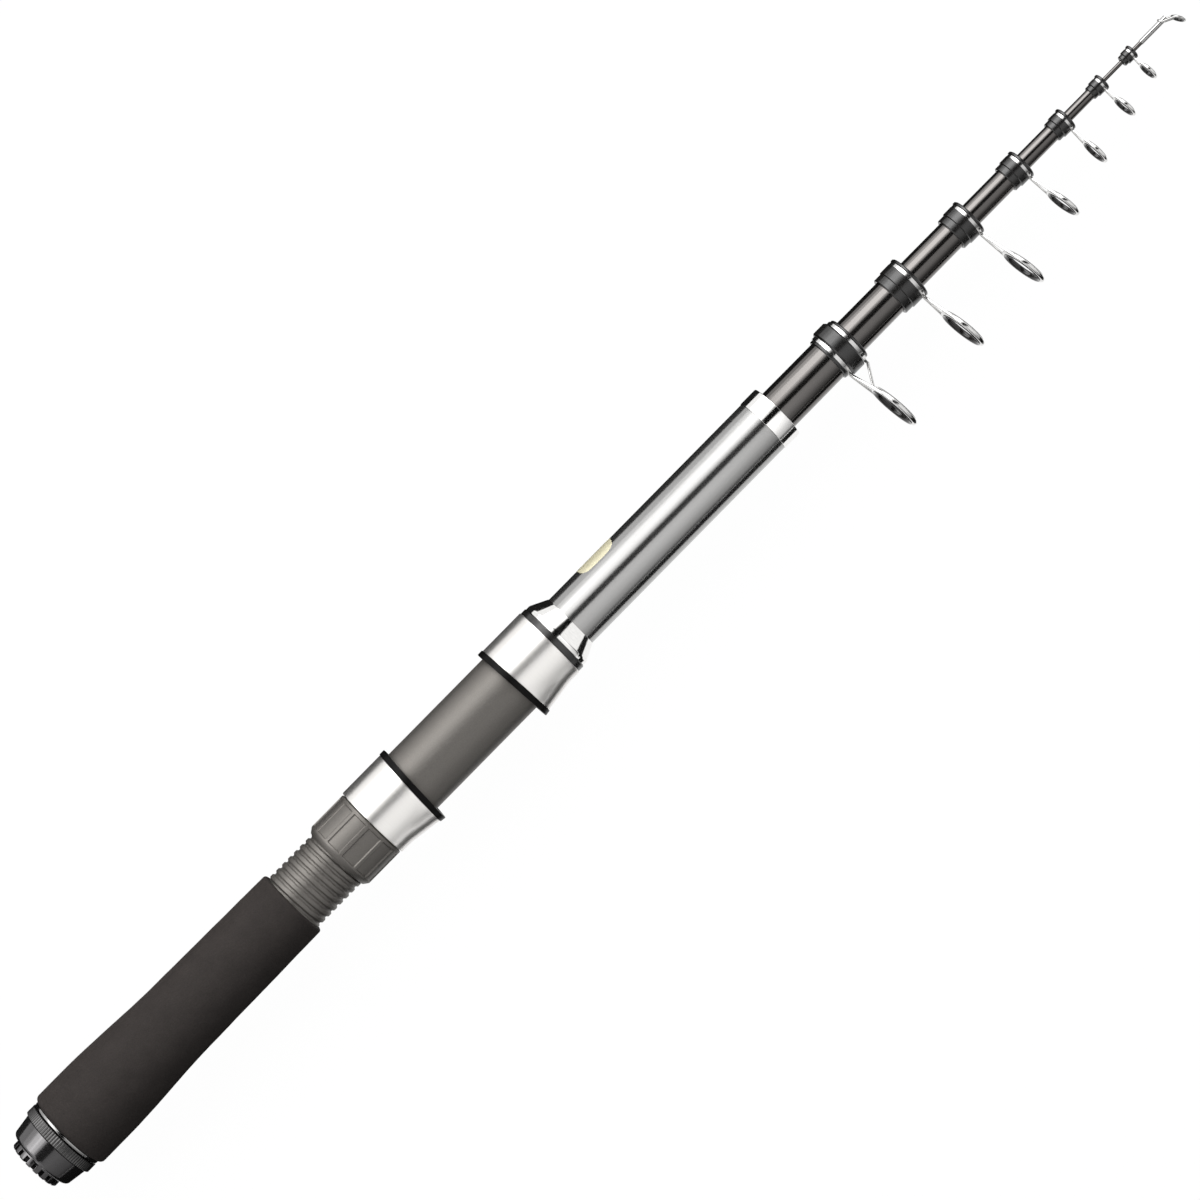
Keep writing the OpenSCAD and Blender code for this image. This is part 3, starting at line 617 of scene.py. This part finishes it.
def make_nut():
    chamfer_end = NUT_X + CHAMFER_LEN
    panel_x = chamfer_end + NUT_RIM / 2
    panel_top = NUT_TOP_X - NUT_RIM
    neck_x = HOOD_X + LIP_LEN + LIP_PLAY
    flange_end = neck_x + NUT_FLANGE_LEN

    def ribbed(share):
        def radius(a):
            step = TURN / RIBS
            off = abs((a + step / 2) % step - step / 2) * NUT_R
            return NUT_R - PANEL_DEPTH * share * smooth((off - RIB_W / 2 + RIB_SLOPE / 2) / RIB_SLOPE)
        return radius

    rows = [(NUT_X, NUT_BORE_R), (NUT_X, NUT_R - NUT_CHAMFER - CHAMFER_EASE),
            (NUT_X + CHAMFER_EASE_STEP, NUT_R - NUT_CHAMFER),
            (chamfer_end - CHAMFER_EASE, NUT_R - CHAMFER_EASE_CUT),
            (chamfer_end + CHAMFER_EASE_STEP, NUT_R), (panel_x, NUT_R)]
    rows += [(panel_x + PANEL_SLOPE * t, ribbed(smooth(t))) for t in PANEL_STEPS]
    rows += [(panel_top - PANEL_SLOPE * t, ribbed(smooth(t))) for t in reversed(PANEL_STEPS)]
    rows += [(panel_top, NUT_R)]
    rows += [(NUT_TOP_X - back, NUT_R - cut) for back, cut in NUT_TOP_EDGE]
    rows += [(NUT_TOP_X, NUT_NECK_R), (neck_x, NUT_NECK_R), (neck_x, NUT_FLANGE_R),
             (flange_end, NUT_FLANGE_R), (flange_end, NUT_BORE_R)]
    piece = skin("nut_ribbed", rings_of(rows, NUT_COUNT))
    finish_piece(piece, "lock_nut", "seat_graphite", SEAT, "lock_nut")


make_nut()


# Hoods: a round shell that swells into the reel foot's pocket on the guide side, with a black liner rim
HOOD_COUNT = 128
HOOD_R = 12.5
HOOD_WALL = 0.8
HOOD_PLAY = 0.13
HOOD_BORE_R = SEAT_R + HOOD_PLAY
HOOD_EDGE = ((0, 0.25), (0.07, 0.07), (0.25, 0))
HOOD_STATIONS = (2, 4, 6, 8, 10, 12, 13.5)
INNER_STATIONS = (6, 12)
FIXED_PLAY = 0.03
POCKET_R = 11.3
POCKET_RISE = 3.0
POCKET_RUN_OUT = 0.6
MOUTH_RAKE = math.radians(3)
MOUTH_EDGE = ((0.25, 0), (0.05, 0.06), (0, 0.2))
LINER_SETBACK = 1.4
LINER_START = LIP_LEN + LINER_SETBACK
LINER_WALL = 0.5
LINER_PLAY = 0.03
LINER_PROUD = 0.3
LINER_RIM_LEN = 1.9
LINER_EDGE = ((0, 0.15), (0.05, 0.04), (0.2, 0))
TANGENTS = 240
TANGENT_REACH = 0.5


def swollen(along, main_r, side_r):
    """Radius by angle of the smooth outline round the main circle and the pocket's circle."""
    offset = POCKET_RUN_OUT + (POCKET_RISE - POCKET_RUN_OUT) * along / HOOD_LEN
    support = []
    for i in range(TANGENTS):
        b = TURN * i / TANGENTS
        support.append((b, max(main_r, side_r - offset * math.cos(b))))

    def radius(a):
        return min(h / math.cos(a - b) for b, h in support if math.cos(a - b) > TANGENT_REACH)
    return radius


def hood_ring(along, main_r, side_r):
    """A ring of the hood at a distance along it."""
    return ring_points(along, swollen(along, main_r, side_r), HOOD_COUNT)


def mouth_ring(back, main_r, side_r):
    """A ring of the hood parallel to its raked mouth, a distance back from it."""
    radius = swollen(HOOD_LEN - back, main_r, side_r)

    def along(a):
        return HOOD_LEN - back + math.tan(MOUTH_RAKE) * (radius(a) * math.cos(a))
    return ring_points(along, radius, HOOD_COUNT)


def hood_shell(lip_r):
    """Rings of the metal shell, from its lip over the outside to the mouth and back along the inside."""
    inner = (HOOD_R - HOOD_WALL, POCKET_R - HOOD_WALL)
    rings = [ring_points(0, lip_r, HOOD_COUNT)]
    rings += [hood_ring(along, HOOD_R - cut, POCKET_R - cut) for along, cut in HOOD_EDGE]
    rings += [hood_ring(along, HOOD_R, POCKET_R) for along in HOOD_STATIONS]
    rings += [mouth_ring(LINER_RIM_LEN + back, HOOD_R - cut, POCKET_R - cut) for back, cut in MOUTH_EDGE]
    rings.append(mouth_ring(LINER_RIM_LEN, *inner))
    rings += [hood_ring(along, *inner) for along in (*reversed(INNER_STATIONS), LIP_LEN)]
    rings.append(ring_points(LIP_LEN, lip_r, HOOD_COUNT))
    return rings


def hood_lining():
    """Rings of the black liner, whose rim covers the shell's mouth."""
    skirt = (HOOD_R - HOOD_WALL - LINER_PLAY, POCKET_R - HOOD_WALL - LINER_PLAY)
    hollow = (HOOD_BORE_R, POCKET_R - HOOD_WALL - LINER_WALL - LINER_PLAY)
    rim_r = HOOD_R + LINER_PROUD
    rim_side_r = POCKET_R + LINER_PROUD
    rim = [(LINER_RIM_LEN - inset, cut) for inset, cut in LINER_EDGE]
    rim += reversed(HOOD_EDGE)
    stations = (LINER_START, *INNER_STATIONS)
    rings = [hood_ring(along, *skirt) for along in stations]
    rings.append(mouth_ring(LINER_RIM_LEN, *skirt))
    rings += [mouth_ring(back, rim_r - cut, rim_side_r - cut) for back, cut in rim]
    rings.append(mouth_ring(0, *hollow))
    rings += [hood_ring(along, *hollow) for along in reversed(stations)]
    return rings


def make_hood(prefix, body, place, lip_r):
    """A hood and its liner, built with the lip at zero and laid down by place."""
    shell = [[place(p) for p in ring] for ring in hood_shell(lip_r)]
    finish_piece(skin(prefix + "_shell", shell), body, "hood_aluminium", HOOD, prefix)
    lining = [[place(p) for p in ring] for ring in hood_lining()]
    finish_piece(skin(prefix + "_lining", lining), body, "black_plastic", LINER, prefix + "_liner")


def make_hoods():
    def sliding(p):
        return p + mm(HOOD_X, 0, 0)

    def fixed(p):
        return Vector((SEAT_TOP_X * MM - p.x, p.y, p.z))

    make_hood("sliding_hood", "sliding_hood", sliding, NUT_NECK_R + LIP_PLAY)
    make_hood("fixed_hood", "handle", fixed, SEAT_R + FIXED_PLAY)


make_hoods()


# Small turned rings of the handle
TURNED_COUNT = 96
TRIM_X = 13.5
TRIM_R = 12.6
TRIM_BORE_R = 10.3
SEAT_RING_PROUD = 1.4
SEAT_RING_R = SEAT_R + SEAT_RING_PROUD
CHECK_X = 220.65
CHECK_PROUD = 1.15
CHECK_R = SEAT_R + CHECK_PROUD
CHECK_RIM_LEN = 1.5
CHECK_LIP = 0.15
CHECK_LIP_R = BLANK_SEAT_R + CHECK_LIP
BARE_X = 227.45
FERRULE_X = 309.88
FERRULE_R = 9.4
FERRULE_BORE_R = 7.58
FERRULE_SEAT_R = 8.8
FERRULE_LIP = 0.6
MOUTH_X = 316.15


def turned(name, outline, slot, material, replaced, edge):
    """A piece of the handle turned from an outline of (x, radius) points, with rounded corners."""
    rings = [ring_points(p.x, p.y, TURNED_COUNT) for p in rounded(outline, edge)]
    finish_piece(skin(name, rings), "handle", slot, material, replaced)


def band(x0, x1, inner, outer):
    return [(x0, inner), (x0, outer), (x1, outer), (x1, inner)]


def make_rings():
    turned("trim_ring_bright", band(TRIM_X, GRIP_X, TRIM_BORE_R, TRIM_R),
           "bright_trim", RING, "butt_trim_ring", edge=0.35)
    turned("seat_ring_black", band(SEAT_TOP_X, CHECK_X, BLANK_SEAT_R, SEAT_RING_R),
           "black_plastic", BLACK, "seat_ring", edge=0.25)
    check = [(CHECK_X, BLANK_SEAT_R), (CHECK_X, CHECK_R), (CHECK_X + CHECK_RIM_LEN, CHECK_R),
             (BARE_X, CHECK_LIP_R), (BARE_X, BLANK_SEAT_R)]
    turned("winding_check_bright", check, "bright_trim", CHROME, "winding_check", edge=0.3)
    lip_x = MOUTH_X - FERRULE_LIP
    ferrule = [(FERRULE_X, FERRULE_SEAT_R), (FERRULE_X, FERRULE_R), (MOUTH_X, FERRULE_R),
               (MOUTH_X, FERRULE_BORE_R), (lip_x, FERRULE_BORE_R), (lip_x, FERRULE_SEAT_R)]
    turned("ferrule_bright", ferrule, "bright_trim", CHROME, "blank_ferrule", edge=0.25)


make_rings()


# Bare foil oval on the side of the blank
BLANK_R = 9.2
FOIL_X = 246.4
FOIL_HALF_LEN = 7.0
FOIL_HALF_ANGLE = math.radians(44)
FOIL_POWER = 4.4
FOIL_PROUD = 0.04
FOIL_SUNK = -0.01
FOIL_COUNT = 96
FOIL_ROWS = 10


def foil_point(share, a, proud):
    """A point of the foil, a share of the way from its middle to its rounded oblong rim."""
    stretch = abs(math.cos(a)) ** FOIL_POWER + abs(math.sin(a)) ** FOIL_POWER
    reach = share / stretch ** (1 / FOIL_POWER)
    dx = reach * math.cos(a) * FOIL_HALF_LEN
    turn = reach * math.sin(a) * FOIL_HALF_ANGLE
    r = BLANK_R + proud
    return mm(FOIL_X + dx, r * math.cos(turn), r * math.sin(turn))


def make_foil():
    bm = bmesh.new()
    angles = [TURN * i / FOIL_COUNT for i in range(FOIL_COUNT)]
    middle = bm.verts.new(mm(FOIL_X, BLANK_R + FOIL_PROUD, 0))
    last = [middle] * FOIL_COUNT
    for j in range(1, FOIL_ROWS + 1):
        proud = FOIL_PROUD if j < FOIL_ROWS else FOIL_SUNK
        ring = [bm.verts.new(foil_point(j / FOIL_ROWS, a, proud)) for a in angles]
        for i in range(FOIL_COUNT):
            k = (i + 1) % FOIL_COUNT
            if last[i] is middle:
                bm.faces.new((middle, ring[i], ring[k]))
            else:
                bm.faces.new((last[i], ring[i], ring[k], last[k]))
        last = ring
    piece = smooth_object("foil_oval", bm)
    piece.data.materials.append(GOLD)
    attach(piece, "handle")


make_foil()


# Floor, cards and light
FLOOR_Z = -13.86
FLOOR_REACH = 40000
FLOOR_GLOW = 0.98
FLOOR_TONE = 0.03
CARD_TONE = 0.012
CARD_LIFT = 0.5
CARD_Z = FLOOR_Z + CARD_LIFT
OVER_Z = 1000
STAGE_START = -2500
STAGE_END = 4500
FLOOR_SEAT = 109
FLOOR_BLANK = 224
SIDE_Y = -1000
SIDE_LOW_TOP = 600
SIDE_TOP = 9000
SIDE_START = -1250
SIDE_GRIP = 16
SIDE_SEAT = 125
SIDE_BLANK = 223
SIDE_TIP = 322
SIDE_END = 520
CAMERA_X = LOOK_AT.x / MM - DISTANCE / MM * math.sin(TILT)
CAMERA_HEIGHT = DISTANCE / MM * math.cos(TILT)
LAMPS_START = -1150
LAMPS_CAP = -560
LAMPS_GRIP = -110
LAMPS_BLANK = 252
LAMPS_TIP = 435
LAMPS_END = 2250
LAMP_DISTANCE = 1.1
AMBIENT = 0.06

# Stops of height and brightness of the side cards, from the floor up
CAP_STOPS = [(FLOOR_Z, 0.1), (210, 0.38), (500, 0.44), (840, 0.54), (1700, 0.67), (SIDE_TOP, 0.5)]
GRIP_STOPS = [(FLOOR_Z, 0.08), (SIDE_LOW_TOP, 0.8)]
SEAT_STOPS = [(FLOOR_Z, 0.65), (SIDE_LOW_TOP, 0.9)]
BLANK_STOPS = [(FLOOR_Z, 0.03), (120, 0.2), (240, 0.58), (510, 0.79), (840, 1.07), (1280, 1.27),
               (2000, 1.45), (SIDE_TOP, 1.3)]
TIP_STOPS = [(FLOOR_Z, 0.03), (290, 0.14), (580, 0.36), (930, 0.64), (1430, 0.78), (SIDE_TOP, 0.75)]


def grey(tone):
    return (tone, tone, tone, 1)


def sheet(name, corners):
    mesh = bpy.data.meshes.new(name)
    mesh.from_pydata([mm(*corner) for corner in corners], [], [(0, 1, 2, 3)])
    piece = add_object(name, mesh)
    return piece


def level_sheet(name, x, y, z):
    return sheet(name, [(x[0], y[0], z), (x[1], y[0], z), (x[1], y[1], z), (x[0], y[1], z)])


def seen_as_background(tree):
    """One where a camera, glossy or see-through ray looks, and zero for the light itself."""
    path = tree.nodes.new("ShaderNodeLightPath")
    seen = path.outputs["Is Camera Ray"]
    for key in ("Is Glossy Ray", "Is Transmission Ray"):
        either = tree.nodes.new("ShaderNodeMath")
        either.operation = "MAXIMUM"
        tree.links.new(seen, either.inputs[0])
        tree.links.new(path.outputs[key], either.inputs[1])
        seen = either.outputs[0]
    return seen


def make_floor():
    m = Nodes("floor_white")
    level = m.add("ShaderNodeMath", operation="MULTIPLY")
    level.inputs[1].default_value = FLOOR_GLOW
    m.join(seen_as_background(m.tree), level.inputs[0])
    glow = m.add("ShaderNodeEmission")
    m.join(level.outputs[0], glow.inputs["Strength"])
    matt = m.add("ShaderNodeBsdfDiffuse")
    matt.inputs["Color"].default_value = grey(FLOOR_TONE)
    both = m.add("ShaderNodeAddShader")
    m.join(glow.outputs[0], both.inputs[0])
    m.join(matt.outputs[0], both.inputs[1])
    m.show(both.outputs[0])
    reach = (-FLOOR_REACH, FLOOR_REACH)
    floor = level_sheet("floor", reach, reach, FLOOR_Z)
    floor.data.materials.append(m.material)


def reflected_only(card):
    for ray in ("camera", "diffuse", "transmission", "volume_scatter", "shadow"):
        setattr(card, "visible_" + ray, False)


def make_card(name, x, y, z):
    """A dark level card, as a photographer sets beside bright tubes to draw their edges."""
    m = Nodes(name)
    m.set(Base_Color=grey(CARD_TONE), Roughness=1.0, Specular_IOR_Level=0.0)
    card = level_sheet(name, x, y, z)
    card.data.materials.append(m.material)
    reflected_only(card)


def mirrored_x(x, height):
    """Where on the side cards' plane, at a height, the camera sees the rod at x mirror."""
    return x + (x - CAMERA_X) * math.hypot(SIDE_Y, height) / CAMERA_HEIGHT


def make_side_card(name, x0, x1, stops):
    """Upright cards on the guide side, one above the other between the stops. They stand where the camera
    sees the rod from x0 to x1 mirror them."""
    for i, ((bottom, low), (top, high)) in enumerate(zip(stops, stops[1:])):
        part = name + "_" + str(i)
        m = Nodes(part)
        glow = m.add("ShaderNodeEmission")
        split = m.add("ShaderNodeSeparateXYZ")
        m.join(m.place(), split.inputs["Vector"])
        m.join(m.ramp(split.outputs["Z"], low, high, bottom, top), glow.inputs["Strength"])
        m.show(glow.outputs[0])
        places = ((x0, bottom), (x1, bottom), (x1, top), (x0, top))
        card = sheet(part, [(mirrored_x(x, z), SIDE_Y, z) for x, z in places])
        card.data.materials.append(m.material)
        reflected_only(card)


def make_light(name, start, end, radiance, mirrored=False, distance=LAMP_DISTANCE,
               x0=LAMPS_START, x1=LAMPS_END):
    """A long soft panel over the rod, between two angles about it that are measured from +Z towards +Y.
    Its distance is in metres. Reflections see the white surroundings, and only a mirrored panel as well."""
    middle = math.radians((start + end) / 2)
    width = 2 * distance * math.tan(math.radians(end - start) / 2)
    length = (x1 - x0) * MM
    data = bpy.data.lights.new(name, "AREA")
    data.shape = "RECTANGLE"
    data.size = length
    data.size_y = width
    data.energy = radiance * math.pi * length * width
    out = Vector((0, math.sin(middle), math.cos(middle)))
    along = Vector((1, 0, 0))
    lamp = add_object(name, data)
    lamp.matrix_world = facing(mm((x0 + x1) / 2, 0, 0) + out * distance, along, out.cross(along), out)
    lamp.visible_camera = False
    lamp.visible_glossy = mirrored


def make_world():
    world = bpy.data.worlds.new("studio")
    world.use_nodes = True
    tree = world.node_tree
    level = tree.nodes.new("ShaderNodeMapRange")
    level.inputs["To Min"].default_value = AMBIENT
    level.inputs["To Max"].default_value = 1.0
    tree.links.new(seen_as_background(tree), level.inputs["Value"])
    tree.links.new(level.outputs["Result"], tree.nodes["Background"].inputs["Strength"])
    tree.nodes["Background"].inputs["Color"].default_value = grey(1)
    scene.world = world


def make_cards():
    """Cards that only reflections see. Each stretch of the rod has its own."""
    whole = (STAGE_START, STAGE_END)
    cap = (LAMPS_CAP, LAMPS_GRIP)
    tip = (LAMPS_TIP, STAGE_END)
    make_card("card_left", x=whole, y=(9, 56), z=CARD_Z)
    make_card("card_grip", x=(STAGE_START, FLOOR_SEAT), y=(-370, -14), z=CARD_Z)
    make_card("card_seat", x=(FLOOR_SEAT, FLOOR_BLANK), y=(-80, -29), z=CARD_Z)
    make_card("card_blank", x=(FLOOR_BLANK, STAGE_END), y=(-370, -42), z=CARD_Z)
    make_card("card_over", x=whole, y=(-80, 290), z=OVER_Z)
    make_card("card_over_cap", x=cap, y=(290, 385), z=OVER_Z)
    make_card("card_over_cap_right", x=cap, y=(-160, -80), z=OVER_Z)
    make_card("card_over_tip", x=tip, y=(290, 380), z=OVER_Z)
    make_card("card_over_tip_right", x=tip, y=(-140, -80), z=OVER_Z)
    make_side_card("side_cap", SIDE_START, SIDE_GRIP, CAP_STOPS)
    make_side_card("side_grip", SIDE_GRIP, SIDE_SEAT, GRIP_STOPS)
    make_side_card("side_seat", SIDE_SEAT, SIDE_BLANK, SEAT_STOPS)
    make_side_card("side_blank", SIDE_BLANK, SIDE_TIP, BLANK_STOPS)
    make_side_card("side_tip", SIDE_TIP, SIDE_END, TIP_STOPS)


def make_lights():
    make_light("left_fill", 15, 95, radiance=0.35)
    make_light("left_wide", 20, 82, radiance=0.6, mirrored=True, distance=1.08, x1=LAMPS_TIP)
    make_light("left_middle", 26, 66, radiance=0.7, mirrored=True, distance=1.05, x1=LAMPS_TIP)
    make_light("left_core", 40, 61, radiance=1.5, mirrored=True, distance=1.0, x1=LAMPS_BLANK)
    make_light("cap_core", 29, 46, radiance=1.5, mirrored=True, distance=1.0, x0=LAMPS_CAP, x1=LAMPS_GRIP)
    make_light("blank_core", 33, 61, radiance=0.3, mirrored=True, distance=1.0, x0=LAMPS_BLANK, x1=LAMPS_TIP)
    make_light("tip_wide", 28, 88, radiance=1.25, mirrored=True, distance=1.08, x0=LAMPS_TIP)
    make_light("tip_core", 36, 70, radiance=2.3, mirrored=True, distance=1.0, x0=LAMPS_TIP)
    make_light("right_high", -48, -4.5, radiance=0.6)
    make_light("right_low", -86, -48, radiance=0.08)


make_floor()
make_cards()
make_lights()
make_world()
